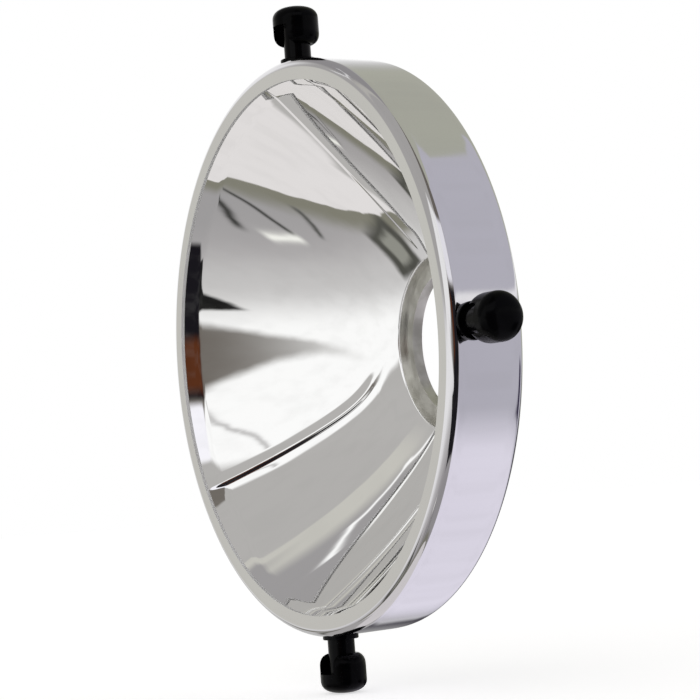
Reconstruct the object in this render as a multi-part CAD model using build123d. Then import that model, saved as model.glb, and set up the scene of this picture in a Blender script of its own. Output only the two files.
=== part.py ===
"""Free-form reflector unit of a vehicle headlamp.

A moulded, mirror-coated bowl with stepped facets sits in a bright metal rim ring. Behind
its neck hole a collar locates the bulb's flange, and a hinged wire clip presses the bulb
home. Three ball studs on the ring carry the unit in the lamp's housing.

Millimetres. The bowl opens towards -Y, +Z is up, and +X is the right-hand side seen from
the front. The origin is the centre of the seat that the bulb's flange rests on. Pieces are
drawn with Y as the depth behind the front plane, and FRAME moves them all to the origin.
"""
from build123d import *
from math import atan2, cos, degrees, hypot, radians, sin, sqrt
import os

# ---- rim ring: sheet metal with a face in front, a skirt behind and a curled rear edge
RIM_RADIUS = 75.0
RING_WALL = 0.9
RING_DEPTH = 21.1
RING_TAPER = 0.5  # how far the skirt draws in from the front to the rear
FACE_WIDTH = 5.6  # front face, from its inner edge to the rim
BEAD_ROUND = 2.6  # outside radius of the rolled front corner
CURL_WIDTH = 2.6
CURL_ROUND = 2.0

# ---- bulb collar: turned ring with the seat, a raised locating rim and a screw flange
SEAT_RADIUS = 19.1  # bore that the bulb's cap passes through
SEAT_LENGTH = 3.0
SEAT_WIDTH = 2.85  # land that the bulb's flange rests on
LOCATING_WALL = 2.65
LOCATING_HEIGHT = 1.6
NOTCH_WIDTH = 8.0
NOTCH_ANGLES = (90.0, 210.0, 330.0)
COLLAR_FLANGE = 6.4
COLLAR_PLATE = 1.8

# ---- bowl
FOCAL_LENGTH = 24.95
LEDGE_WIDTH = 4.75  # how much wider the neck hole is than the bulb seat
HOLE_LAND = 1.8  # straight wall of the neck hole
BOSS_MARGIN = 0.5
MOUTH_UNDERLAP = 0.8  # how far the mirror runs on behind the ring's face
BOWL_WALL = 3.2  # measured along the lamp's axis
FLANGE_THICKNESS = 1.4
LIP_WALL = 1.2
LIP_MARGIN = 1.3  # lip behind the stud washers
CORNER_CLEARANCE = 0.3
FIT_GAP = 0.05  # radial gap of every piece that slides into another

# ---- mirror facets: each lies deeper than the plain mirror by a relief that grows from the
# hole to the mouth, as (at the hole, at the mouth), between two upright risers
FACET_MARGIN = 2.0  # plain band of mirror between the facets and the ring's face
ZONE_RELIEF = (0.1, 0.5)
SIDE_RELIEF = (0.4, 1.2)
CORNER_RELIEF = (0.6, 1.7)
CROWN_RELIEF = (0.2, 0.8)
# angles of the right half's risers as (at the hole, at the mouth), degrees from +X
RISER_DRAFT_ANGLE = 8.0  # away from the lamp's axis
CORNER_ANGLES = (-14.0, -30.0)
SIDE_ANGLES = (-64.0, -57.5)
FOOT_ANGLES = (-82.0, -80.0)
BROW_ANGLES = (74.0, 52.0)
CROWN_ANGLES = (75.5, 82.0)
TOP_ANGLES = (87.0, 92.0)
SECTOR_MARGIN_ANGLE = 12.0  # a facet's cutter starts and ends this far past its risers

# ---- screws into the bowl's boss
SCREW_SHANK = 1.4
SCREW_HEAD_RADIUS = 2.5
SCREW_HEAD_HEIGHT = 1.8
SCREW_BITE = 2.6  # length inside the boss
SCREW_SLOT = (0.9, 0.8)  # width and depth
COLLAR_SCREW_ANGLES = (30.0, 150.0, 210.0, 330.0)

# ---- wire clip, its hinge bracket and its catch
WIRE_RADIUS = 0.8
WIRE_CLEARANCE = 0.3
HINGE_CLEARANCE = 0.05
HINGE_OVERHANG = 1.0  # hinge axis below the collar's edge
HINGE_RISE = 3.8  # hinge axis behind the bulb seat
SHEET = 1.0  # bracket and catch
SHEET_GAP = 0.6  # from a bracket's edge to the raised rim or a screw head
EAR_ROUND = 2.4
BRACKET_SCREW_X = 4.0
CLIP_HALF_WIDTH = 12.0
CLIP_STRAIGHT = 21.0  # straight leg, from the lamp's axis up and down
CLIP_INSET = 1.0  # cross wire inside the collar's edge
CLIP_SHOULDER = 1.0  # cross wire past each side of the catch
CLIP_BEND = 6.0
CLIP_TOP_BEND = 3.0
CLIP_END_BEND = 1.8
CATCH_HALF_WIDTH = 4.0
CATCH_OVERHANG = 1.2

# ---- ball studs
STUD_DEPTH = 6.4  # stud axis behind the front plane
STUD_ANGLES = {"top": 90.0, "right": 0.0, "bottom": -90.0}
TAIL_RADIUS = 2.0
PEEN_RADIUS = 2.8
PEEN_HEIGHT = 0.7
WASHER_RADIUS = 3.8
WASHER_THICKNESS = 0.8
BASE_RADIUS = 4.65
BASE_HEIGHT = 1.0
NECK_RADIUS = 3.5
NECK_SHOWN = 3.7  # bare neck between the base washer and the head
SPIGOT_RADIUS = 2.2
SPIGOT_LENGTH = 2.8
HEAD_RADIUS = 6.0
HEAD_HEIGHT = 10.2
HEAD_CROWN = 3.4
HEAD_UNDERSIDE = 3.2
HEAD_CAP = 5.2  # from the pin's shoulder to the tip of the head
HEAD_EDGE = 0.7  # rubber round the neck at the head's lower edge

# ---- places that follow from the sizes above
HOLE_RADIUS = SEAT_RADIUS + LEDGE_WIDTH
LOCATING_RADIUS = SEAT_RADIUS + SEAT_WIDTH
RAISED_RADIUS = LOCATING_RADIUS + LOCATING_WALL
COLLAR_RADIUS = RAISED_RADIUS + COLLAR_FLANGE
BOSS_RADIUS = COLLAR_RADIUS + BOSS_MARGIN
SCREW_CIRCLE = (RAISED_RADIUS + COLLAR_RADIUS) / 2
FACE_INNER = RIM_RADIUS - FACE_WIDTH
MOUTH_RADIUS = FACE_INNER + MOUTH_UNDERLAP
FACET_REACH = FACE_INNER - FACET_MARGIN
HOLE_DEPTH = RING_WALL + (MOUTH_RADIUS**2 - HOLE_RADIUS**2) / (4 * FOCAL_LENGTH)
LAND_DEPTH = HOLE_DEPTH + HOLE_LAND
SEAT_DEPTH = LAND_DEPTH + SEAT_LENGTH
PLATE_REAR = LAND_DEPTH + COLLAR_PLATE
LIP_DEPTH = STUD_DEPTH + WASHER_RADIUS + LIP_MARGIN
SCREW_TOP = PLATE_REAR + SHEET + SCREW_HEAD_HEIGHT
WIRE_DEPTH = max(SEAT_DEPTH + LOCATING_HEIGHT, SCREW_TOP) + WIRE_RADIUS + WIRE_CLEARANCE
EAR_INNER = BRACKET_SCREW_X + SCREW_HEAD_RADIUS + SHEET_GAP
BRACKET_TOP = RAISED_RADIUS + SHEET_GAP
HINGE_DROP = COLLAR_RADIUS + HINGE_OVERHANG
HINGE_DEPTH = SEAT_DEPTH + HINGE_RISE
BRACKET_BOTTOM = HINGE_DROP + EAR_ROUND
CLIP_TOP = COLLAR_RADIUS - CLIP_INSET
FRAME = Pos(0, -SEAT_DEPTH, 0)


def dish_depth(radius, relief=(0.0, 0.0)):
    """Depth of the mirror at a radius."""
    share = (radius**2 - HOLE_RADIUS**2) / (MOUTH_RADIUS**2 - HOLE_RADIUS**2)
    plain = HOLE_DEPTH + (RING_WALL - HOLE_DEPTH) * share
    return plain + relief[0] + (relief[1] - relief[0]) * share


def parabola(inner, outer, relief=(0.0, 0.0), offset=0.0):
    """Exact parabolic edge of the mirror, or of its back, from one radius to another."""
    first = dish_depth(inner, relief) + offset
    last = dish_depth(outer, relief) + offset
    steepness = (last - first) / (outer**2 - inner**2)
    middle = first + steepness * inner * (outer - inner)
    return Bezier((inner, first), ((inner + outer) / 2, middle), (outer, last))


def skirt_radius(depth):
    """Outside radius of the ring's skirt."""
    return RIM_RADIUS - RING_TAPER * depth / RING_DEPTH


def lip_radius(depth):
    """Outside radius of the bowl's lip, which slides inside the skirt."""
    return skirt_radius(depth) - RING_WALL - FIT_GAP


def polar(radius, angle, depth):
    """Point at a radius and an angle about the lamp's axis."""
    return Vector(radius * cos(radians(angle)), depth, radius * sin(radians(angle)))


def turned(*edges):
    """Solid of revolution about the lamp's axis from the edges of a closed profile."""
    return revolve(make_face(Curve() + list(edges)), Axis.Y)


def disc(radius, low, high):
    """Cylinder along Z between two heights."""
    return Pos(0, 0, (low + high) / 2) * Cylinder(radius, high - low)


def rearward(angle, radius, depth):
    """Location whose +Z looks backwards along the lamp's axis and whose +X points outwards."""
    place = polar(radius, angle, depth)
    return Plane(origin=place, x_dir=polar(1, angle, 0), z_dir=(0, 1, 0)).location


def outward(angle):
    """Location on the lamp's axis whose +Z runs out along a stud and whose +X looks forwards."""
    return Plane(origin=(0, STUD_DEPTH, 0), x_dir=(0, -1, 0), z_dir=polar(1, angle, 0)).location


# ---------------------------------------------------------------------- ball studs
def washer_seat():
    """Height along a stud at which a flat washer touches the curved inside of the lip."""
    inside = lip_radius(STUD_DEPTH + WASHER_RADIUS) - LIP_WALL
    return sqrt(inside**2 - WASHER_RADIUS**2)


BASE_FACE = skirt_radius(STUD_DEPTH) + BASE_HEIGHT
HEAD_FOOT = BASE_FACE + NECK_SHOWN
HEAD_TIP = HEAD_FOOT + HEAD_HEIGHT
PIN_SHOULDER = HEAD_TIP - HEAD_CAP


def stud_holes():
    """Clearance holes for the stud tails, through the skirt and the lip."""
    drill = disc(TAIL_RADIUS + FIT_GAP, washer_seat() - WASHER_THICKNESS, BASE_FACE)
    return [outward(angle) * drill for angle in STUD_ANGLES.values()]


def make_pin():
    """Stepped pin whose tail is peened over the washer inside the lip."""
    inner = washer_seat() - WASHER_THICKNESS
    peened = disc(PEEN_RADIUS, inner - PEEN_HEIGHT, inner)
    neck = disc(NECK_RADIUS, BASE_FACE, PIN_SHOULDER)
    spigot = disc(SPIGOT_RADIUS, PIN_SHOULDER, PIN_SHOULDER + SPIGOT_LENGTH)
    peened = fillet(peened.edges().group_by(Axis.Z)[0], PEEN_HEIGHT / 2)
    return peened + disc(TAIL_RADIUS, inner, BASE_FACE) + neck + spigot


def make_washer():
    seat = washer_seat()
    hole = disc(TAIL_RADIUS + FIT_GAP, seat - 2 * WASHER_THICKNESS, seat + WASHER_THICKNESS)
    return disc(WASHER_RADIUS, seat - WASHER_THICKNESS, seat) - hole


def make_base():
    """Washer under the neck, before its underside is hollowed to the skirt's curve."""
    inside = skirt_radius(STUD_DEPTH) - RING_WALL
    base = disc(BASE_RADIUS, inside, BASE_FACE)
    base = fillet(base.edges().group_by(Axis.Z)[-1], BASE_HEIGHT / 4)
    return base - disc(TAIL_RADIUS + FIT_GAP, inside - BASE_HEIGHT, BASE_FACE + BASE_HEIGHT)


def make_head():
    """Rubber ball with a grip band, a pocket for the pin and a slot towards the front."""
    band_foot = HEAD_FOOT + HEAD_UNDERSIDE
    band_top = HEAD_TIP - HEAD_CROWN
    edge = NECK_RADIUS + HEAD_EDGE
    ball = revolve(
        make_face(
            Curve()
            + [
                Line((0, HEAD_FOOT), (edge, HEAD_FOOT)),
                Bezier((edge, HEAD_FOOT), (HEAD_RADIUS, HEAD_FOOT + HEAD_EDGE), (HEAD_RADIUS, band_foot)),
                Line((HEAD_RADIUS, band_foot), (HEAD_RADIUS, band_top)),
                Bezier((HEAD_RADIUS, band_top), (HEAD_RADIUS, HEAD_TIP), (0, HEAD_TIP)),
                Line((0, HEAD_TIP), (0, HEAD_FOOT)),
            ]
        ),
        Axis.Y,
    )
    bore = NECK_RADIUS + FIT_GAP
    pocket = disc(bore, HEAD_FOOT - HEAD_EDGE, PIN_SHOULDER)
    pocket += disc(SPIGOT_RADIUS + FIT_GAP, PIN_SHOULDER - HEAD_EDGE, PIN_SHOULDER + SPIGOT_LENGTH)
    slot_height = PIN_SHOULDER - HEAD_FOOT + HEAD_EDGE
    slot = Pos(HEAD_RADIUS, 0, PIN_SHOULDER - slot_height / 2) * Box(
        2 * HEAD_RADIUS, 2 * bore, slot_height
    )
    return Rot(90, 0, 0) * ball - pocket - slot


def skirt_envelope():
    """The space inside the skirt's outside face."""
    outside = sheet_line(0)
    return turned(outside, Polyline(outside @ 1, (0, RING_DEPTH), (0, 0), outside @ 0))


def make_studs():
    """The four pieces of each stud, by node name."""
    pieces = {"stud_pin": make_pin(), "stud_head": make_head(), "stud_washer": make_washer()}
    base, envelope = make_base(), skirt_envelope()
    nodes = {}
    for place, angle in STUD_ANGLES.items():
        for name, piece in pieces.items():
            nodes[f"{name}_{place}"] = outward(angle) * piece
        nodes[f"stud_base_{place}"] = outward(angle) * base - envelope
    return nodes


# ---------------------------------------------------------------------- rim ring
def sheet_line(inset):
    """Section of the ring's sheet at an inset from its outside face, from face to curl."""
    rear = skirt_radius(RING_DEPTH)
    return FilletPolyline(
        (FACE_INNER, inset),
        (RIM_RADIUS - inset, inset),
        (rear - inset, RING_DEPTH - inset),
        (rear - CURL_WIDTH, RING_DEPTH - inset),
        radius=(BEAD_ROUND - inset, CURL_ROUND - inset),
    )


def make_rim_ring():
    outside, inside = sheet_line(0), sheet_line(RING_WALL)
    ends = [Line(outside @ end, inside @ end) for end in (0, 1)]
    return turned(outside, inside, *ends) - stud_holes()


# ---------------------------------------------------------------------- bowl
def riser_plane(riser, deeper_above):
    """Plane of a riser, with its draft and with its normal towards growing angles.

    deeper_above says that the deeper facet lies at the larger angles.
    """
    start = polar(HOLE_RADIUS, riser[0], HOLE_DEPTH)
    along = polar(MOUTH_RADIUS, riser[1], RING_WALL) - start
    across = Vector(-along.Z, 0, along.X).normalized()
    lean = radians(RISER_DRAFT_ANGLE if deeper_above else -RISER_DRAFT_ANGLE)
    fall = across * sin(lean) + Vector(0, cos(lean), 0)
    return Plane(origin=start, x_dir=along, z_dir=along.cross(fall))


def facet(first, last, relief):
    """Cutter for one facet between two risers, the first one at the smaller angles."""
    inner = HOLE_RADIUS / 2
    floor = parabola(inner, FACET_REACH, relief)
    ends = Polyline(floor @ 1, (FACET_REACH, -BOWL_WALL), (inner, -BOWL_WALL), floor @ 0)
    start = min(first) - SECTOR_MARGIN_ANGLE
    span = max(last) + SECTOR_MARGIN_ANGLE - start
    turn = Axis((0, 0, 0), (0, -1, 0))
    cutter = Rot(0, -start, 0) * revolve(make_face(Curve() + [floor, ends]), turn, span)
    cutter = split(cutter, bisect_by=riser_plane(first, True), keep=Keep.TOP)
    return split(cutter, bisect_by=riser_plane(last, False), keep=Keep.BOTTOM)


def mirrored(riser):
    """The riser that faces a right-hand one across the lamp's upright centre plane."""
    half_turn = 180.0 if riser[0] > 0 else -180.0
    return (half_turn - riser[0], half_turn - riser[1])


def facets():
    """All facet cutters: the narrower, deeper facets lie inside the wider, shallower ones."""
    return [
        facet(mirrored(CORNER_ANGLES), CORNER_ANGLES, ZONE_RELIEF),
        facet(mirrored(CORNER_ANGLES), mirrored(FOOT_ANGLES), SIDE_RELIEF),
        facet(FOOT_ANGLES, CORNER_ANGLES, SIDE_RELIEF),
        facet(mirrored(CORNER_ANGLES), mirrored(SIDE_ANGLES), CORNER_RELIEF),
        facet(SIDE_ANGLES, CORNER_ANGLES, CORNER_RELIEF),
        facet(BROW_ANGLES, mirrored(BROW_ANGLES), ZONE_RELIEF),
        facet(TOP_ANGLES, mirrored(CROWN_ANGLES), CROWN_RELIEF),
        facet(BROW_ANGLES, CROWN_ANGLES, SIDE_RELIEF),
        facet(mirrored(CROWN_ANGLES), mirrored(BROW_ANGLES), SIDE_RELIEF),
    ]


def make_bowl():
    """Moulding with the mirror in front, a boss behind and a flanged lip round its mouth."""
    corner = BEAD_ROUND - RING_WALL + CORNER_CLEARANCE
    flange_rear = RING_WALL + FLANGE_THICKNESS
    back_reach = sqrt(MOUTH_RADIUS**2 + 4 * FOCAL_LENGTH * (BOWL_WALL - FLANGE_THICKNESS))
    mirror = parabola(HOLE_RADIUS, MOUTH_RADIUS)
    back = parabola(BOSS_RADIUS, back_reach, offset=BOWL_WALL)
    rim = Polyline(
        mirror @ 1,
        (lip_radius(RING_WALL) - corner, RING_WALL),
        (lip_radius(RING_WALL + corner), RING_WALL + corner),
        (lip_radius(LIP_DEPTH), LIP_DEPTH),
        (lip_radius(LIP_DEPTH) - LIP_WALL, LIP_DEPTH),
        (lip_radius(flange_rear) - LIP_WALL, flange_rear),
        back @ 1,
    )
    boss = Polyline(back @ 0, (BOSS_RADIUS, LAND_DEPTH), (HOLE_RADIUS, LAND_DEPTH), mirror @ 0)
    return turned(mirror, rim, back, boss) - facets() - stud_holes() - screw_holes()


# ---------------------------------------------------------------------- screws
def screw_places():
    """Each screw's group, angle, radius and the depth of the face that its head sits on."""
    collar = [("collar_screws", angle, SCREW_CIRCLE, PLATE_REAR) for angle in COLLAR_SCREW_ANGLES]
    drop = (BRACKET_TOP + BRACKET_BOTTOM - EAR_ROUND) / 2
    tilt = degrees(atan2(BRACKET_SCREW_X, drop))
    reach = hypot(BRACKET_SCREW_X, drop)
    bracket = [("bracket_screws", turn - 90, reach, PLATE_REAR + SHEET) for turn in (-tilt, tilt)]
    return collar + bracket + [("catch_screw", 90.0, SCREW_CIRCLE, PLATE_REAR + SHEET)]


def screw_holes():
    """Clearance holes for all screws, from inside the boss out through what they hold."""
    drill = disc(SCREW_SHANK + FIT_GAP, -SCREW_BITE - FIT_GAP, SEAT_LENGTH + SHEET)
    return [rearward(angle, radius, LAND_DEPTH) * drill for _, angle, radius, _ in screw_places()]


def make_screw(seat):
    """Round-headed slotted screw whose head sits on the plane z = 0."""
    head = disc(SCREW_HEAD_RADIUS, 0, SCREW_HEAD_HEIGHT)
    head = fillet(head.edges().group_by(Axis.Z)[-1], SCREW_HEAD_HEIGHT / 2)
    width, depth = SCREW_SLOT
    slot = Pos(0, 0, SCREW_HEAD_HEIGHT) * Box(3 * SCREW_HEAD_RADIUS, width, 2 * depth)
    return head + disc(SCREW_SHANK, LAND_DEPTH - SCREW_BITE - seat, 0) - slot


def make_screws():
    """Groups of identical screws, by node name."""
    groups = {}
    for name, angle, radius, seat in screw_places():
        groups.setdefault(name, []).append(rearward(angle, radius, seat) * make_screw(seat))
    return {name: Compound(children=screws) for name, screws in groups.items()}


# ---------------------------------------------------------------------- bulb collar
def make_collar():
    raised = SEAT_DEPTH + LOCATING_HEIGHT
    section = Polyline(
        (SEAT_RADIUS, LAND_DEPTH),
        (COLLAR_RADIUS, LAND_DEPTH),
        (COLLAR_RADIUS, PLATE_REAR),
        (RAISED_RADIUS, PLATE_REAR),
        (RAISED_RADIUS, raised),
        (LOCATING_RADIUS, raised),
        (LOCATING_RADIUS, SEAT_DEPTH),
        (SEAT_RADIUS, SEAT_DEPTH),
        close=True,
    )
    middle = (LOCATING_RADIUS + RAISED_RADIUS) / 2
    notch = Box(2 * LOCATING_WALL, NOTCH_WIDTH, 2 * LOCATING_HEIGHT)
    notches = [rearward(angle, middle, raised) * notch for angle in NOTCH_ANGLES]
    return turned(section) - notches - screw_holes()


# ---------------------------------------------------------------------- bracket and catch
def bent_sheet(half_width, *points):
    """Strip of sheet metal across X from the (depth, height) points of its section."""
    section = make_face(Polyline(*[(0, *point) for point in points], close=True))
    return extrude(section, half_width, dir=(1, 0, 0), both=True)


def make_bracket():
    """Foot on the collar's flange with two ears that carry the wire's ends."""
    foot = bent_sheet(
        EAR_INNER + SHEET,
        (PLATE_REAR, -BRACKET_TOP),
        (PLATE_REAR + SHEET, -BRACKET_TOP),
        (PLATE_REAR + SHEET, -BRACKET_BOTTOM),
        (PLATE_REAR, -BRACKET_BOTTOM),
    )
    rise = HINGE_DEPTH - PLATE_REAR
    ear = Pos(0, -rise / 2, 0) * Box(SHEET, rise, 2 * EAR_ROUND)
    ear += Rot(0, 90, 0) * Cylinder(EAR_ROUND, SHEET)
    bore = Rot(0, 90, 0) * Cylinder(WIRE_RADIUS + HINGE_CLEARANCE, 4 * EAR_INNER)
    hinge = Pos(0, HINGE_DEPTH, -HINGE_DROP)
    places = [Pos(side * (EAR_INNER + SHEET / 2), 0, 0) for side in (-1, 1)]
    return foot + [hinge * place * ear for place in places] - hinge * bore - screw_holes()


def make_catch():
    """Upright behind the cross wire, with a lip bent over it."""
    tip = CLIP_TOP + WIRE_RADIUS + WIRE_CLEARANCE
    post = tip + CATCH_OVERHANG
    lip = WIRE_DEPTH + WIRE_RADIUS + WIRE_CLEARANCE
    strip = bent_sheet(
        CATCH_HALF_WIDTH,
        (PLATE_REAR, BRACKET_TOP),
        (PLATE_REAR, post + SHEET),
        (lip + SHEET, post + SHEET),
        (lip + SHEET, tip),
        (lip, tip),
        (lip, post),
        (PLATE_REAR + SHEET, post),
        (PLATE_REAR + SHEET, BRACKET_TOP),
    )
    return strip - screw_holes()


# ---------------------------------------------------------------------- wire clip
def make_clip():
    """Bail of round wire: in through both ears, up beside the bulb and across at the top."""
    beside_ear = EAR_INNER + SHEET + WIRE_RADIUS + WIRE_CLEARANCE + CLIP_END_BEND
    right = [
        (EAR_INNER - 2 * WIRE_RADIUS, HINGE_DEPTH, -HINGE_DROP),
        (beside_ear, HINGE_DEPTH, -HINGE_DROP),
        (CLIP_HALF_WIDTH, WIRE_DEPTH, -CLIP_STRAIGHT),
        (CLIP_HALF_WIDTH, WIRE_DEPTH, CLIP_STRAIGHT),
        (CATCH_HALF_WIDTH + CLIP_SHOULDER, WIRE_DEPTH, CLIP_TOP),
    ]
    left = [(-x, y, z) for x, y, z in reversed(right)]
    bends = [CLIP_END_BEND, CLIP_BEND, CLIP_BEND, CLIP_TOP_BEND]
    path = FilletPolyline(*right, *left, radius=bends + bends[::-1])
    return sweep(Plane(origin=path @ 0, z_dir=path % 0) * Circle(WIRE_RADIUS), path=path)


# ---------------------------------------------------------------------- whole unit
def make_nodes():
    return {
        "reflector_bowl": make_bowl(),
        "rim_ring": make_rim_ring(),
        "bulb_collar": make_collar(),
        "clip_bracket": make_bracket(),
        "clip_catch": make_catch(),
        "bulb_clip": make_clip(),
        **make_studs(),
        **make_screws(),
    }


os.makedirs("parts", exist_ok=True)
for node_name, shape in make_nodes().items():
    export_step(FRAME * shape, f"parts/{node_name}.step")
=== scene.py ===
# %% [markdown]
# # A headlamp's reflector unit
#
# A round mirror bowl with stepped facets sits in a bright sheet metal ring. Three black
# ball studs carry the ring, and a wire clip behind the bowl holds the bulb.
#
# The engineering model is loaded first, as a fixed frame of true sizes. Nineteen of its
# pieces only get a finish here. The bowl and the ring are drawn again with finer
# sections, because a mirror shows every flat and every kink.

# %% Load the engineering model
import math

import bpy
import numpy as np
from mathutils import Matrix, Vector


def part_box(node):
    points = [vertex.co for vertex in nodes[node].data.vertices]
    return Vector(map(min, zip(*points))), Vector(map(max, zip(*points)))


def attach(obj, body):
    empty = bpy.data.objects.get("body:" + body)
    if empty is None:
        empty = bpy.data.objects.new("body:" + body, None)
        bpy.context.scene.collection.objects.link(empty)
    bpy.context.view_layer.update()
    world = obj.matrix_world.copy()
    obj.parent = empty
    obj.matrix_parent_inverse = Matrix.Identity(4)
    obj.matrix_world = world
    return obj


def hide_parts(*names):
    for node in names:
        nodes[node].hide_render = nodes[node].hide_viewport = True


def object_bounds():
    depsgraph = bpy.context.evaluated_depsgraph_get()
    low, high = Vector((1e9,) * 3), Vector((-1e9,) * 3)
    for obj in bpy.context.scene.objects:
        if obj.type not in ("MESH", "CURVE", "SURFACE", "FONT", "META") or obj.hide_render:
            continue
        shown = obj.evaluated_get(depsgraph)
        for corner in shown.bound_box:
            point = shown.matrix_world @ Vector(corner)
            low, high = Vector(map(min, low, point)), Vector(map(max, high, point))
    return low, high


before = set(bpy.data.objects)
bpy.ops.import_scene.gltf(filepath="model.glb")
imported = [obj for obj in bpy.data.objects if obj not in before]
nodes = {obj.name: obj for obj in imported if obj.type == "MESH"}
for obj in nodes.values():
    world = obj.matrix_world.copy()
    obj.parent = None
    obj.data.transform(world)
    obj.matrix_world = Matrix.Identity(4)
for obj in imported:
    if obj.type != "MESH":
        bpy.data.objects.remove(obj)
cad_low, cad_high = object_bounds()
print("nodes:", len(nodes), "box:", [round(v, 4) for v in (*cad_low, *cad_high)])

# %% [markdown]
# ## Sizes that the bowl and the ring share
#
# Lengths are in metres, as the frame is, and `MM` lets them be written in millimetres.
# The bowl opens towards -Y, and `front` is the plane of the ring's face. Depths are
# measured backwards from it. The bowl's depth isn't chosen: it follows from the focal
# length and the two radii, as it does on a real paraboloid.

# %% Sizes of the ring and the bowl
MM = 0.001
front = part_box("rim_ring")[0].y
rim_radius = 75.0 * MM
ring_wall = 0.9 * MM
ring_depth = 21.1 * MM
ring_taper = 0.5 * MM
face_inner = 69.4 * MM
mouth_radius = 70.2 * MM
hole_radius = 23.85 * MM
focal_length = 24.95 * MM
hole_depth = ring_wall + (mouth_radius**2 - hole_radius**2) / (4 * focal_length)
land_depth = hole_depth + 1.8 * MM
print("bowl depth:", round(land_depth / MM, 2), "mm, front plane at Y =", round(front, 5))

# %% [markdown]
# ## The camera
#
# It stands to the right of the lamp and a little below its centre, with a long lens, so
# the ring is a tall ellipse and the skirt shows on the right. It could be aimed with a
# Track To constraint. Two directions of its own, to its right and up, are written out
# instead, because the lamp is also rolled a little in the view.

# %% Place the camera
camera = bpy.data.objects.new("camera", bpy.data.cameras.new("camera"))
bpy.context.collection.objects.link(camera)
bpy.context.scene.camera = camera
camera.data.lens = 124.5
camera.data.clip_start = 0.01
right = Vector((0.4897, 0.8687, -0.0741))
up = Vector((0.0820, 0.0387, 0.9959))
back = right.cross(up).normalized()
aim = Matrix((right.normalized(), up.normalized(), back)).transposed().to_4x4()
stand = Matrix.Translation((0.5516, front - 0.2983, -0.0343))
camera.matrix_world = stand @ aim
bpy.context.scene.view_settings.view_transform = "Standard"
print("camera at", [round(v, 3) for v in camera.matrix_world.translation])

# %% [markdown]
# ## Writing shaders as sums
#
# A node tree is easier to read as arithmetic. `Sum` wraps one output of a node, and each
# operator adds the Math node that works it out. `Shader` holds a tree and adds every
# other node with one method.


# %% Arithmetic on node outputs
class Sum:
    def __init__(self, shader, socket):
        self.shader, self.socket = shader, socket

    def math(self, operation, *others):
        values = dict(enumerate((self, *others)))
        return self.shader.add("ShaderNodeMath", {"operation": operation}, values)

    def __add__(self, other):
        return self.math("ADD", other)

    def __sub__(self, other):
        return self.math("SUBTRACT", other)

    def __mul__(self, other):
        return self.math("MULTIPLY", other)

    def __truediv__(self, other):
        return self.math("DIVIDE", other)

    def __pow__(self, other):
        return self.math("POWER", other)

    def __rsub__(self, other):
        return self.shader.add("ShaderNodeMath", {"operation": "SUBTRACT"}, {0: other, 1: self})

    __radd__ = __add__
    __rmul__ = __mul__

    def step(self, low, high):
        """0 up to low, 1 from high on and a smooth ramp between them, either way round."""
        settings = {"interpolation_type": "SMOOTHSTEP"}
        values = {0: self, 1: low, 2: high, 3: 0.0, 4: 1.0}
        return self.shader.add("ShaderNodeMapRange", settings, values)


print("sums ready")


# %% Adding any other node
class Shader:
    def __init__(self, tree):
        self.tree = tree
        tree.nodes.clear()

    def add(self, kind, settings=None, values=None, output=0):
        """Adds a node: its settings first, then the values or links of its sockets."""
        node = self.tree.nodes.new(kind)
        for name, value in (settings or {}).items():
            setattr(node, name, value)
        for key, value in (values or {}).items():
            socket = node.inputs[key]
            if isinstance(value, Sum):
                self.tree.links.new(value.socket, socket)
            elif socket.type == "RGBA":
                socket.default_value = (*value, 1.0)
            else:
                socket.default_value = value
        return Sum(self, node.outputs[output]) if node.outputs else None

    def mix(self, share, first, second):
        """A colour between two colours."""
        values = {0: share, 6: first, 7: second}
        return self.add("ShaderNodeMix", {"data_type": "RGBA"}, values, output=2)

    def parts(self, vector):
        """The three numbers of a vector."""
        return [self.add("ShaderNodeSeparateXYZ", {}, {0: vector}, i) for i in range(3)]

    def noise(self, scale, detail=2.0, where=None):
        """Soft noise from 0 to 1, on the object's own coordinates unless told where."""
        where = where or self.add("ShaderNodeTexCoord", output="Object")
        values = {"Vector": where, "Scale": scale, "Detail": detail}
        return self.add("ShaderNodeTexNoise", {}, values)

    def bump(self, height, distance):
        return self.add("ShaderNodeBump", {}, {"Height": height, "Distance": distance})


print("shader helpers ready")

# %% [markdown]
# ## The light
#
# A mirror shows little of itself and much of the room it hangs in. The room could be
# built from cards and lamps, but a bowl sees nearly all of it at once, and each card
# would show its hard edges. So the room is drawn in the world's shader, as soft areas by
# their direction from the lamp: `turn` is degrees to the right of straight ahead, and
# `rise` is degrees above the horizon. Noise bends both a little, since no reflection in
# a moulded bowl is quite straight.

# %% Directions of the room
world = bpy.data.worlds.new("studio")
bpy.context.scene.world = world
world.use_nodes = True
room = Shader(world.node_tree)
direction = room.add("ShaderNodeTexCoord", output="Generated")
dx, dy, dz = room.parts(direction)
to_degrees = 180 / math.pi
wobble = 3.0
turn = dx.math("ARCTAN2", dy * -1.0) * to_degrees
rise = dz.math("ARCSINE") * to_degrees
turn = turn + (room.noise(7, 3, direction) - 0.5) * wobble
rise = rise + (room.noise(9, 3, direction) - 0.5) * wobble
print("room directions bent by", wobble / 2, "degrees at most")


# %% Areas of the room
def window(value, low, high, soft):
    """1 between low and high, with a soft edge on both sides."""
    return value.step(low - soft, low + soft) * (1 - value.step(high - soft, high + soft))


def patch(turns, rises, soft):
    """A soft-edged patch between two turns and two rises."""
    return window(turn, *turns, soft) * window(rise, *rises, soft)


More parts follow.
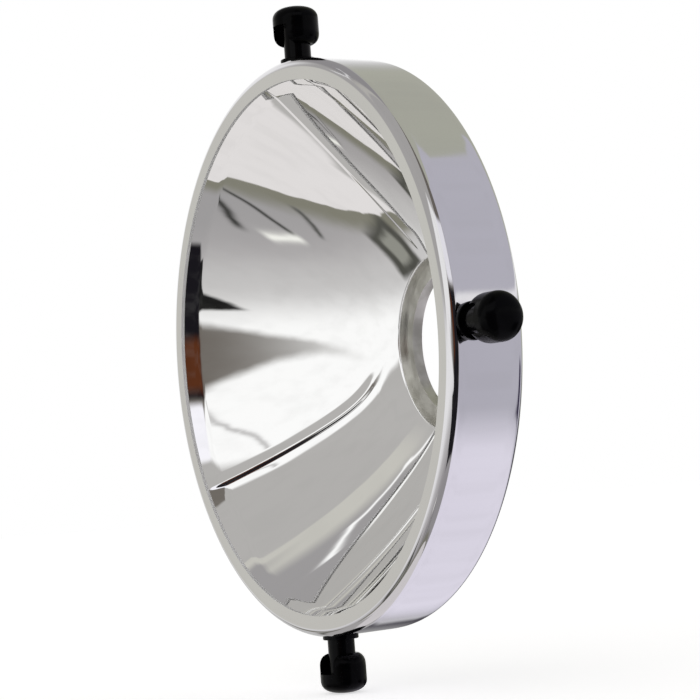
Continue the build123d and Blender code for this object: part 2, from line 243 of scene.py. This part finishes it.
def stroke(start, end, width, soft=0.15):
    """A thin soft stroke from one direction to another, both as (turn, rise)."""
    across, along = end[0] - start[0], end[1] - start[1]
    length = math.hypot(across, along)
    across, along = across / length, along / length
    way = (turn - start[0]) * across + (rise - start[1]) * along
    off = ((rise - start[1]) * across - (turn - start[0]) * along) / width
    return window(way, 0.0, length, soft * length) * (off * off * -1.0).math("EXPONENT")


print("ways to mark an area: window, patch, stroke")

# %% [markdown]
# ### Tables and a sheet below
#
# The upper half of a bowl shows what lies below it. Here that is a bench in three greys,
# an olive sheet whose edge slants, and a light table past the sheet. A pale arch is left
# in the bench, as a lamp over it would leave it. Each area is mixed over what was
# painted before it, so the order matters as it does on paper.

# %% Paint the bench
white = (1.0, 1.0, 1.0)
near_bench, bench, far_bench = (0.57, 0.56, 0.56), (0.415, 0.40, 0.405), (0.35, 0.34, 0.345)
arch_turn, arch_rise, arch_reach = 14, -2, 27
arch = ((turn - arch_turn) / arch_reach) ** 2 + ((rise - arch_rise) / arch_reach) ** 2
paint = room.mix(rise.step(-8, -28), white, near_bench)
paint = room.mix(rise.step(-26, -44) * arch.step(0.9, 1.1), paint, bench)
paint = room.mix(rise.step(-34, -56), paint, far_bench)
print("bench painted, with an arch", 2 * arch_reach, "degrees wide")

# %% Lay the olive sheet and the light table past it
olive, light_table = (0.22, 0.215, 0.175), (0.77, 0.745, 0.745)
box_side, box_middle = (0.08, 0.08, 0.07), (0.28, 0.28, 0.25)
marks = (
    ((11, -55.5), (18, -46), 1.0, 0.05),
    ((5, -56.5), (5, -44), 0.9, 0.06),
    ((-10, -51), (-4, -43), 0.9, 0.10),
    ((14, -43.5), (4, -43.5), 1.6, 0.90),
)
slant = 0.455
sheet = rise + turn * slant
paint = room.mix(sheet.step(-50, -58), paint, olive)
for start, end, width, level in marks:
    paint = room.mix(stroke(start, end, width), paint, (level, level, level * 0.95))
paint = room.mix(patch((-47, -27), (-40, -24), 2.0), paint, box_side)
paint = room.mix(patch((-42, -32), (-37, -28), 1.5), paint, box_middle)
paint = room.mix(sheet.step(-60.2, -61.0), paint, light_table)
print("short marks on the sheet:", len(marks), "and a dark box")

# %% [markdown]
# ### A wall to the left and the ceiling
#
# The right side of the mirror shows the left of the room, and its lower part shows the
# ceiling. The ceiling is grey, with a lighter and then a darker part towards the left
# and three bright strokes over them, which give the lower facets their sheen.

# %% Paint the left
grey, left_wall, dark_line = (0.46, 0.45, 0.44), (0.62, 0.62, 0.61), (0.12, 0.12, 0.10)
paint = room.mix(turn.step(-57, -60) * window(rise, -44.5, -25.5, 1.2), paint, grey)
far_left = turn.step(-82, -88) * rise.step(-30, -26) * rise.step(4, -6)
paint = room.mix(far_left, paint, left_wall)
paint = room.mix(stroke((-92, -30), (-64, -26), 1.2), paint, dark_line)
slope = (rise - turn).step(15, 21) * rise.step(0, 8) * turn.step(-75, -60)
paint = room.mix(slope, paint, grey)
print("left of the room painted")

# %% Paint the ceiling
ceiling, sheen, past_sheen = (0.45, 0.44, 0.43), (0.56, 0.55, 0.51), (0.34, 0.33, 0.335)
lights = (
    ((-56, 27), (-49.5, 41), 1.0),
    ((-49.5, 38), (-55.5, 51), 0.9),
    ((-54, 51), (-67, 50.5), 0.9),
)
paint = room.mix(rise.step(37, 42), paint, ceiling)
under_ceiling = rise.step(28, 42)
paint = room.mix(under_ceiling * turn.step(-35, -38), paint, sheen)
paint = room.mix(under_ceiling * turn.step(-43, -55), paint, past_sheen)
for start, end, width in lights:
    paint = room.mix(stroke(start, end, width, 0.06), paint, white)
print("bright strokes on the ceiling:", len(lights))

# %% [markdown]
# ### A dark opening to the right
#
# The left side of the mirror shows the right of the room. A brown shade widens towards
# a black opening there, with a black wedge below it and a rust-red glow inside it. Three
# faint strokes in a chain are a wavy grey edge above the shade.

# %% Paint the right
shade, black, rust = (0.16, 0.145, 0.13), (0.012, 0.012, 0.012), (0.10, 0.03, 0.012)
opening, wave_grey = (0.01, 0.009, 0.012), (0.40, 0.39, 0.39)
shade_end, shade_height = 44, 25
outward = turn.math("MAXIMUM", 0.0) / shade_end
lower = turn * turn * 0.003 - turn * 0.62 + 9
upper = lower + outward * outward * outward * shade_height + 1
shaded = (rise - lower).step(-2.5, 1.5) * (rise - upper).step(3, -2) * turn.step(0, shade_end)
paint = room.mix(shaded, paint, shade)
wedge = turn + (rise + 26).math("MAXIMUM", 0.0) * 0.8
wedge = wedge.step(39.5, 41.5) * window(rise, -38, -17.5, 0.8)
paint = room.mix(wedge, paint, black)
paint = room.mix(patch((46, 95), (-45, 15), 1.5), paint, opening)
paint = room.mix(patch((46, 60), (-8, 12), 3.0), paint, rust)
waves = (((43, 15), (39, 23)), ((39, 23), (34, 28)), ((34, 28), (25, 36)))
for start, end in waves:
    paint = room.mix(stroke(start, end, 0.6, 0.05) * 0.7, paint, wave_grey)
print("right of the room painted, with a wavy edge of", len(waves), "strokes")

# %% [markdown]
# ### Walls behind the lamp
#
# The ring's skirt faces sideways, so it shows the walls beside and behind the lamp. They
# are lilac, pale below and deeper above, with an olive part at the top, a bright line
# above mid height and two dark areas near the ground. A patch on the left is what the
# ring's flat face shows, and gives it its tone.

# %% Paint the walls
wall_low, wall_high, wall_top = (0.92, 0.89, 1.0), (0.55, 0.54, 0.61), (0.475, 0.48, 0.41)
wall_foot, wall_line = (0.07, 0.065, 0.08), (0.98, 0.97, 0.99)
rear_dark, right_light, face_light = (0.04, 0.03, 0.07), (0.95, 0.94, 1.0), (0.68, 0.675, 0.62)
wall = turn.step(97, 101) + turn.step(-120, -130)
paint = room.mix(wall, paint, room.mix(rise.step(-40, -22), wall_low, wall_high))
top_from = rise + turn.step(-90, -130) * 60
paint = room.mix(wall * top_from.step(53.2, 54.0), paint, wall_top)
paint = room.mix(turn.step(-115, -125) * window(rise, -24, -6, 3.0), paint, wall_foot)
paint = room.mix(wall * window(rise, 8.5, 12.5, 1.5), paint, wall_line)
paint = room.mix(patch((137, 158), (-26, -8), 2.0), paint, rear_dark)
paint = room.mix(patch((50, 97), (17, 40), 2.0), paint, right_light)
paint = room.mix(patch((-78, -48), (-14, 16), 3.0), paint, face_light)
print("walls painted")

# %% [markdown]
# ### Clouds, and white for the camera
#
# Faint clouds keep the large areas from looking printed. The camera itself, and whatever
# it sees through something clear, gets plain white, so the painted room shows only in
# reflections and in the light that it gives.

# %% Show the room to reflections alone
cloud_grey, cloud_strength = (0.30, 0.30, 0.29), 0.07
cloud = room.noise(11, 4, direction).step(0.42, 0.70)
paint = room.mix(cloud * cloud_strength, paint, cloud_grey)
seen = room.add("ShaderNodeLightPath", output="Is Camera Ray")
through = room.add("ShaderNodeLightPath", output="Is Transmission Ray")
shown = room.mix(seen.math("MAXIMUM", through), paint, white)
surround = room.add("ShaderNodeBackground", {}, {"Color": shown, "Strength": 1.0})
room.add("ShaderNodeOutputWorld", {}, {"Surface": surround})
print("room nodes:", len(world.node_tree.nodes))

# %% [markdown]
# ## Finishes
#
# No real surface has one even colour and gloss, and an even one looks like plastic. So
# every finish here moves between two close colours in soft clouds, its roughness drifts
# with a second noise, and cast or moulded ones have a fine grain. One helper builds
# them all as Principled shaders, because only the numbers differ.


# %% A helper for finishes
def finish(name, colours, clouds, metallic, gloss, grain=None, **sockets):
    """A material for a finish.

    colours are the two that it moves between, and clouds says how fine their patches
    are. gloss is the least roughness, how much more there can be and how fine its
    patches are. grain is how fine the bumps are, their detail and their height.
    """
    material = bpy.data.materials.new(name)
    material.use_nodes = True
    shader = Shader(material.node_tree)
    least, spread, drift = gloss
    values = {
        "Base Color": shader.mix(shader.noise(clouds, 3.0).step(0.35, 0.65), *colours),
        "Metallic": metallic,
        "Roughness": shader.noise(drift) * spread + least,
    }
    if grain:
        fineness, detail, height = grain
        values["Normal"] = shader.bump(shader.noise(fineness, detail), height)
    for key, value in sockets.items():
        values[key.replace("_", " ")] = value
    surface = shader.add("ShaderNodeBsdfPrincipled", {}, values)
    shader.add("ShaderNodeOutputMaterial", {}, {"Surface": surface})
    return material


print("finish helper ready")

# %% [markdown]
# ### The bright ones
#
# The mirror is aluminium laid on the moulding in a vacuum: nearly white and nearly free
# of haze. The ring is chromed sheet, darker and a touch softer. Along its cut inner edge
# and under its face it is bare and dull. That strip matters more than its width, because
# the mirror shows it again beside the real edge.

# %% Mirror, chrome and cut edge
METAL, PLAIN = 1.0, 0.0
mirror_coat = finish(
    "mirror coat", ((0.95, 0.95, 0.94), (0.97, 0.97, 0.965)), 9, METAL, (0.012, 0.02, 40)
)
ring_chrome = finish(
    "ring chrome", ((0.73, 0.72, 0.74), (0.76, 0.755, 0.765)), 14, METAL, (0.04, 0.05, 60)
)
cut_edge = finish("cut edge", ((0.86, 0.86, 0.86), (0.94, 0.94, 0.94)), 90, 0.25, (0.35, 0.15, 200))
print("bright finishes:", [m.name for m in (mirror_coat, ring_chrome, cut_edge)])

# %% [markdown]
# ### The ones behind
#
# The back of the bowl is bare grey moulding, with the fine grain of its tool. The collar
# is a zinc casting, the bracket, catch, screws and washers are zinc-plated, and the clip
# is drawn spring wire, the smoothest of them.

# %% Moulding, zinc and wire
moulding = finish(
    "bowl moulding",
    ((0.16, 0.16, 0.165), (0.20, 0.20, 0.20)),
    60,
    PLAIN,
    (0.45, 0.2, 300),
    (900, 2.0, 0.08 * MM),
)
cast_zinc = finish(
    "cast zinc",
    ((0.46, 0.45, 0.40), (0.58, 0.57, 0.52)),
    220,
    METAL,
    (0.25, 0.2, 160),
    (200, 3.0, 0.16 * MM),
)
zinc_sheet = finish(
    "zinc sheet", ((0.52, 0.53, 0.54), (0.66, 0.66, 0.66)), 150, METAL, (0.25, 0.2, 200)
)
spring_wire = finish(
    "spring wire", ((0.60, 0.60, 0.60), (0.74, 0.74, 0.73)), 120, METAL, (0.18, 0.15, 300)
)
print("finishes behind:", [m.name for m in (moulding, cast_zinc, zinc_sheet, spring_wire)])

# %% [markdown]
# ### The black ones
#
# The studs' heads are black rubber, worn smooth, and their pins and bases have a black
# coat. Both reflect far less than a common plastic. In a room this bright the specular
# level has to be low, or they would turn grey.

# %% Rubber and black coat
blacks = ((0.0008, 0.0008, 0.001), (0.002, 0.002, 0.0025))
black_rubber = finish(
    "black rubber",
    blacks,
    200,
    PLAIN,
    (0.12, 0.15, 180),
    (420, 2.0, 0.06 * MM),
    Specular_IOR_Level=0.05,
)
black_coat = finish("black coat", blacks, 240, PLAIN, (0.10, 0.1, 260), Specular_IOR_Level=0.07)
print("black finishes:", [m.name for m in (black_rubber, black_coat)])


# %% Give the loaded nodes their finishes
def coat(name, material):
    for slot in nodes[name].material_slots:
        slot.material = material


for name in nodes:
    if name.startswith("stud_head"):
        coat(name, black_rubber)
    elif name.startswith(("stud_pin", "stud_base")):
        coat(name, black_coat)
    elif name in ("clip_bracket", "clip_catch") or "screw" in name or "washer" in name:
        coat(name, zinc_sheet)
coat("bulb_collar", cast_zinc)
coat("bulb_clip", spring_wire)
print("finished:", len(nodes) - 2, "nodes, all but the bowl and the ring")

# %% [markdown]
# ## Turned shapes
#
# The ring is spun and the bowl is moulded round, so both are turned shapes. They could
# be cylinders that are scaled ring by ring. It is simpler to lay the section out as one
# closed chain of points and spin it about the lamp's axis, which gives even columns all
# round. The chain starts as a circle with the right number of points.


# %% Spin a section
def turned(name, section, columns):
    """A closed shell from the closed chain of (radius, depth) points of its section."""
    bpy.ops.object.select_all(action="DESELECT")
    bpy.ops.mesh.primitive_circle_add(vertices=len(section), radius=rim_radius)
    piece = bpy.context.object
    piece.name = name
    for vertex, (radius, depth) in zip(piece.data.vertices, section):
        vertex.co = (radius, front + depth, 0)
    bpy.ops.object.mode_set(mode="EDIT")
    bpy.ops.mesh.select_all(action="SELECT")
    bpy.ops.mesh.spin(steps=columns, angle=-2 * math.pi, center=(0, 0, 0), axis=(0, 1, 0))
    bpy.ops.mesh.select_all(action="SELECT")
    bpy.ops.mesh.remove_doubles(threshold=1e-6)
    bpy.ops.mesh.normals_make_consistent(inside=False)
    bpy.ops.object.mode_set(mode="OBJECT")
    return piece


def arc(centre, radius, start, end, count):
    """Points on an arc of a section, from one angle to another, in degrees."""
    steps = [math.radians(start + (end - start) * i / count) for i in range(count + 1)]
    return [(centre[0] + radius * math.cos(a), centre[1] + radius * math.sin(a)) for a in steps]


def smooth(piece, degrees):
    """Smooth shading, except over edges that are sharper than so many degrees."""
    bpy.ops.object.select_all(action="DESELECT")
    piece.select_set(True)
    bpy.context.view_layer.objects.active = piece
    bpy.ops.object.shade_smooth_by_angle(angle=math.radians(degrees))


print("turning helpers ready")

# %% [markdown]
# ## The rim ring
#
# One strip of sheet metal: a flat face in front, a rolled corner, a skirt that draws in a
# little and a curled rear edge. A plain skirt with Solidify would give the wall, but not
# the true inside of the curl, so the section has an outside and an inside.

# %% Section of the ring
bead, curl = 2.6 * MM, 2.0 * MM
edge_strip, curl_reach = 0.25 * MM, 2.6 * MM
straight_from, straight_to = bead * 1.3, ring_depth - curl * 1.3
skirt_lean = ring_taper / ring_depth


def skirt(depth):
    return rim_radius - skirt_lean * depth


curl_centre = (skirt(ring_depth) - curl, ring_depth - curl)
curl_end = skirt(ring_depth) - curl_reach
bead_centre = (rim_radius - bead, bead)
ring_outside = (
    [(face_inner, 0.0), (face_inner + edge_strip, 0.0)]
    + arc(bead_centre, bead, -90, 0, 16)
    + [(skirt(d), d) for d in np.linspace(straight_from, straight_to, 8)]
    + arc(curl_centre, curl, 0, 90, 12)
    + [(curl_end, ring_depth)]
)
ring_inside = (
    [(curl_end, ring_depth - ring_wall)]
    + arc(curl_centre, curl - ring_wall, 90, 0, 6)
    + [(skirt(d) - ring_wall, d) for d in np.linspace(straight_to, straight_from, 4)]
    + arc(bead_centre, bead - ring_wall, 0, -90, 6)
    + [(face_inner, ring_wall)]
)
print("section points:", len(ring_outside) + len(ring_inside))

# %% Turn the ring
ring = turned("ring", ring_outside + ring_inside, 512)
smooth(ring, 35)
ring.data.materials.append(ring_chrome)
ring.data.materials.append(cut_edge)
touch = 0.02 * MM
bare = 0
for face in ring.data.polygons:
    from_axis = math.hypot(face.center.x, face.center.z)
    level = abs(face.center.y - front - ring_wall) < touch / 2
    under = level and from_axis < rim_radius - bead
    face.material_index = int(under or from_axis < face_inner + touch)
    bare += face.material_index
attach(ring, "reflector")
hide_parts("rim_ring")
print("ring faces:", len(ring.data.polygons), "of which cut edge:", bare)

# %% [markdown]
# ## The bowl
#
# The bowl is a moulding with a mirror on its hollow side. It is turned first, with a
# plain dish, a small roll where the mirror meets the neck hole, a lip that fits inside
# the ring's skirt and a thicker boss for the collar. The back follows the dish, one wall
# thickness behind it.

# %% The dish and the lip
bowl_wall, lip_wall = 3.2 * MM, 1.2 * MM
lip_depth, corner = 11.5 * MM, 2.0 * MM
lip_gap = 0.05 * MM


def dish(radius):
    share = (radius**2 - hole_radius**2) / (mouth_radius**2 - hole_radius**2)
    return hole_depth + (ring_wall - hole_depth) * share


def lip(depth):
    return skirt(depth) - ring_wall - lip_gap


print("dish:", round((dish(hole_radius) - dish(mouth_radius)) / MM, 2), "mm from hole to mouth")

# %% Section of the bowl
rows = 100
boss = 31.5 * MM
flange_wall = 1.4 * MM
flange = ring_wall + flange_wall
back_reach = math.sqrt(mouth_radius**2 + 4 * focal_length * (bowl_wall - flange_wall))

# The roll turns from straight up the hole, at 180 degrees, to the slope of the dish, at
# 240. Its centre lies so that it meets the mirror as it is pressed at the hole.
least_relief = 0.1
roll = 0.7 * MM
mirror_start = hole_radius + roll * 0.575
roll_centre = (hole_radius + roll, dish(mirror_start) + roll * 0.905 + least_relief * MM)
bowl_section = (
    arc(roll_centre, roll, 180, 240, 6)
    + [(r, dish(r)) for r in np.linspace(mirror_start, mouth_radius, rows)]
    + [(lip(ring_wall) - corner, ring_wall), (lip(ring_wall + corner), ring_wall + corner)]
    + [(lip(lip_depth), lip_depth), (lip(lip_depth) - lip_wall, lip_depth)]
    + [(lip(flange) - lip_wall, flange)]
    + [(r, dish(r) + bowl_wall) for r in np.linspace(back_reach, boss, 22)]
    + [(boss, land_depth), (hole_radius, land_depth)]
)
print("section points:", len(bowl_section))

# %% [markdown]
# ## Seams and facets
#
# The mirror is pressed in facets, each with its own relief, so that the beam is spread
# where the road needs it. Neighbouring facets meet in a seam. Each seam is kept as a
# line seen from the front, which can be slanted, bowed and hooked: the cheek seam low on
# each side, the jaw seam where the cheek facet fades out again, the foot seam at the
# bottom and the crown seams at the top. Knife cuts would draw them too, but they would
# leave no rule for the surface between them.


# %% A seam
class Seam:
    """A line between two facets, seen from the front, from the neck hole to the mouth.

    It runs between two angles in degrees from +X. bow bends its middle and hook bends its
    end at the hole, both in mm towards larger angles.
    """

    def __init__(self, hole_angle, mouth_angle, bow=0.0, hook=0.0):
        ends = [
            radius * np.array([math.cos(math.radians(a)), math.sin(math.radians(a))])
            for radius, a in ((hole_radius, hole_angle), (mouth_radius, mouth_angle))
        ]
        self.start, run = ends[0], ends[1] - ends[0]
        self.length = math.hypot(*run)
        self.along = run / self.length
        self.across = np.array([-self.along[1], self.along[0]])
        self.bow, self.hook = bow * MM, hook * MM

    def bend(self, share):
        return self.bow * 4 * share * (1 - share) + self.hook * np.exp(-((share / 0.2) ** 2))

    def place(self, x, z):
        """How far along the seam a point is, as a share, and how far past it, in mm."""
        x, z = x - self.start[0], z - self.start[1]
        share = (x * self.along[0] + z * self.along[1]) / self.length
        past = x * self.across[0] + z * self.across[1] - self.bend(share)
        return share, past / MM

    def angle(self, radius):
        """The angle at which the seam crosses a radius."""
        share = np.linspace(-0.1, 1.1, 240)[:, None]
        line = self.start + self.along * self.length * share + self.across * self.bend(share)
        angles = np.unwrap(np.arctan2(line[:, 1], line[:, 0]))
        angles = np.interp(radius, np.hypot(*line.T), angles)
        return (angles + math.pi) % (2 * math.pi) - math.pi


cheek = Seam(-166, -150, hook=-5)
jaw = Seam(-120.5, -122.5)
foot = Seam(-76, -94)
crown = Seam(104.5, 98, bow=4.8)
print("seam lengths:", [round(s.length / MM, 1) for s in (cheek, jaw, foot, crown)], "mm")

# %% [markdown]
# ### The relief
#
# Every point of the mirror is moved back by the relief there, in millimetres. It grows
# from the hole to the mouth, so that the facets' ends stand clear, and fades out in a
# plain band under the ring's face. The cheek facet drops steeply past its seam, then
# goes on down in a cove, with a fine ridge before it. The middle facet at the top and the
# strip to the right of the foot seam are only a hair deeper than their neighbours.


# %% The cheek facet
def ramp(value, low, high):
    """0 below low, 1 above high and a smooth ramp between them."""
    t = np.clip((value - low) / (high - low), 0, 1)
    return t * t * (3 - 2 * t)


drop_at_hole, drop_growth, drop_fall = 0.6, 1.3, 0.95
riser_share, cove_share, cove_reach = 0.4, 0.6, 2.2
ridge_height, jaw_half, cheek_top = 0.20, 3, 8 * MM


def cheek_relief(x, z, share):
    along, past = cheek.place(x, z)
    past_jaw = jaw.place(x, z)[1]
    fall = 1 - drop_fall * past / np.maximum(past - past_jaw, 4)
    level = (drop_at_hole + drop_growth * share) * np.clip(fall, 0, 1)
    cove = 1 - np.exp(-np.maximum(past, 0) / cove_reach)
    drop = riser_share * ramp(past, -0.6, 0.6) + cove_share * cove
    ridge = -ridge_height * ramp(past, -3.6, -0.5) * (1 - ramp(past, -0.5, 0.5))
    ends = ramp(along, 0.02, 0.2) * (1 - ramp(past_jaw, -jaw_half, jaw_half))
    facet = (level * drop + ridge) * ends
    return np.where((z < cheek_top) & (past_jaw < jaw_half), facet, 0)


print("cheek facet past its seam:", round(float(cheek_relief(-0.055, -0.040, 0.8)), 2), "mm")


# %% The crown, the foot and the whole relief
relief_growth, crown_step, foot_step = 0.8, 0.2, 0.1
step_half, steps_from = 0.3, 10 * MM
foot_fade_from, foot_fade_to = 5, 45
band_start, band_width = 68.1, 2.1


def relief(x, z):
    """How much deeper than a plain dish the mirror is pressed, in mm."""
    left = -np.abs(x)
    radius = np.hypot(x, z)
    share = (radius**2 - hole_radius**2) / (mouth_radius**2 - hole_radius**2)
    share = np.clip(share, 0, 1)
    deep = least_relief + relief_growth * share + cheek_relief(left, z, share)
    middle = ramp(-crown.place(left, z)[1], -step_half, step_half) * ramp(share, 0.02, 0.12)
    deep = deep + np.where(z > steps_from, crown_step * middle, 0)
    along, past = foot.place(x, z)
    beside = foot_step * ramp(past, -step_half, step_half) * ramp(along, 0.05, 0.25)
    beside = beside * (1 - ramp(x / MM, foot_fade_from, foot_fade_to))
    deep = deep + np.where(z < -steps_from, beside, 0)
    return deep * (1 - np.clip((radius / MM - band_start) / band_width, 0, 1))


print("relief at the top of the mirror:", round(float(relief(0.0, 0.065)), 2), "mm")

# %% [markdown]
# ### Columns that follow the seams
#
# A seam that crosses the columns of a mesh comes out as a saw. So before the relief is
# pressed, the columns near each seam are turned to run along it and are drawn close
# together there. `bunch` says which even angles go to which real ones, and the columns
# between are shared out evenly. Close to the hole the cheek seam hooks away, and the
# columns stop following it. No operator follows such a rule, so this is done point by
# point.

# %% Turn the bowl
bowl = turned("bowl", bowl_section, 720)
points = np.empty(len(bowl.data.vertices) * 3)
bowl.data.vertices.foreach_get("co", points)
points = points.reshape(-1, 3)
radius = np.hypot(points[:, 0], points[:, 2])
angle = np.arctan2(points[:, 2], points[:, 0])
depth = points[:, 1] - front
on_mirror = (np.abs(depth - dish(radius)) < 1e-6) & (radius < mouth_radius + 1e-6)
print("bowl points:", len(points), "on the mirror:", int(on_mirror.sum()))

# %% Which columns go where
at = np.clip(radius, hole_radius, mouth_radius)
cheek_column, foot_column, crown_column = -2.62, -1.50, 1.71
hook_limit, least_gap = -2.85, 0.004
wide, fine, half = 4.5 * MM / at, 0.8 * MM / at, 0.5 * MM / at
cheek_spans = ((-0.17, -wide), (-0.05, -fine), (0.0, 0.0), (0.05, fine), (0.17, wide))
step_spans = ((-0.035, -half), (0.035, half))


def bunch(even, real, spans):
    """Pairs of an even angle and the real angles of the points that were at it."""
    return [(even + even_off, real + real_off) for even_off, real_off in spans]


cheek_at = np.maximum(cheek.angle(at), hook_limit)
foot_at, crown_at = foot.angle(at), crown.angle(at)
stations = [(-math.pi, 0 * at - math.pi), (math.pi, 0 * at + math.pi)]
stations += bunch(cheek_column, cheek_at, cheek_spans)
stations += bunch(-cheek_column - math.pi, -math.pi - cheek_at, cheek_spans)
stations += bunch(foot_column, foot_at, step_spans)
stations += bunch(crown_column, crown_at, step_spans)
stations += bunch(math.pi - crown_column, math.pi - crown_at, step_spans)
stations.sort(key=lambda pair: pair[0])
print("stations round the bowl:", len(stations))

# %% Turn the columns and press the facets
even = np.array([pair[0] for pair in stations])
real = np.stack([pair[1] for pair in stations])
for i in range(1, len(real)):
    real[i] = np.maximum(real[i], real[i - 1] + least_gap)
span = np.clip(np.searchsorted(even, angle) - 1, 0, len(even) - 2)
inside = (angle - even[span]) / (even[span + 1] - even[span])
every = np.arange(len(angle))
angle = real[span, every] * (1 - inside) + real[span + 1, every] * inside
points[:, 0], points[:, 2] = radius * np.cos(angle), radius * np.sin(angle)
pressed = relief(points[on_mirror, 0], points[on_mirror, 2])
points[on_mirror, 1] += pressed * MM
bowl.data.vertices.foreach_set("co", points.ravel())
bowl.data.update()
smooth(bowl, 50)
print("deepest relief:", round(float(pressed.max()), 2), "mm")

# %% [markdown]
# ### Mirror in front, moulding behind
#
# The coat is blown on from the front, so it covers the dish and stops a little way into
# the neck hole. Faces farther behind the dish than that stay bare, and so does the lip.

# %% Coat the front and leave the back bare
bowl.data.materials.append(mirror_coat)
bowl.data.materials.append(moulding)
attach(bowl, "reflector")
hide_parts("reflector_bowl")
coat_reach = 2.4 * MM
middles = np.empty(len(bowl.data.polygons) * 3)
bowl.data.polygons.foreach_get("center", middles)
middles = middles.reshape(-1, 3)
face_radius = np.hypot(middles[:, 0], middles[:, 2])
behind = (middles[:, 1] - front) > dish(face_radius) + coat_reach
behind |= face_radius > mouth_radius
bowl.data.polygons.foreach_set("material_index", behind.astype(np.int32))
bowl.data.update()
print("bowl faces:", len(bowl.data.polygons), "of which bare:", int(behind.sum()))

# %% [markdown]
# ## The floor
#
# A plain pale floor lies under the lowest stud and catches a soft shadow. To the camera
# it glows a little, so that it comes near the white of the room. In the mirror it is
# clear, because the painted room has tables of its own there.

# %% Lay the floor
bpy.ops.object.select_all(action="DESELECT")
bpy.ops.mesh.primitive_plane_add(size=6, location=(0, 0, cad_low.z))
floor = bpy.context.object
floor.name = "floor"
floor_finish = bpy.data.materials.new("floor")
floor_finish.use_nodes = True
ground = Shader(floor_finish.node_tree)
pale, glow = (0.8, 0.8, 0.8), 0.62
matt = ground.add("ShaderNodeBsdfDiffuse", {}, {"Color": pale})
lift = ground.add("ShaderNodeEmission", {}, {"Color": white, "Strength": glow})
lifted = ground.add("ShaderNodeAddShader", {}, {0: matt, 1: lift})
looked_at = ground.add("ShaderNodeLightPath", output="Is Camera Ray")
in_mirror = ground.add("ShaderNodeLightPath", output="Is Glossy Ray")
clear = ground.add("ShaderNodeBsdfTransparent")
shown = ground.add("ShaderNodeMixShader", {}, {0: looked_at, 1: matt, 2: lifted})
shown = ground.add("ShaderNodeMixShader", {}, {0: in_mirror, 1: shown, 2: clear})
ground.add("ShaderNodeOutputMaterial", {}, {"Surface": shown})
floor.data.materials.append(floor_finish)
print("floor at", round(cad_low.z, 4))
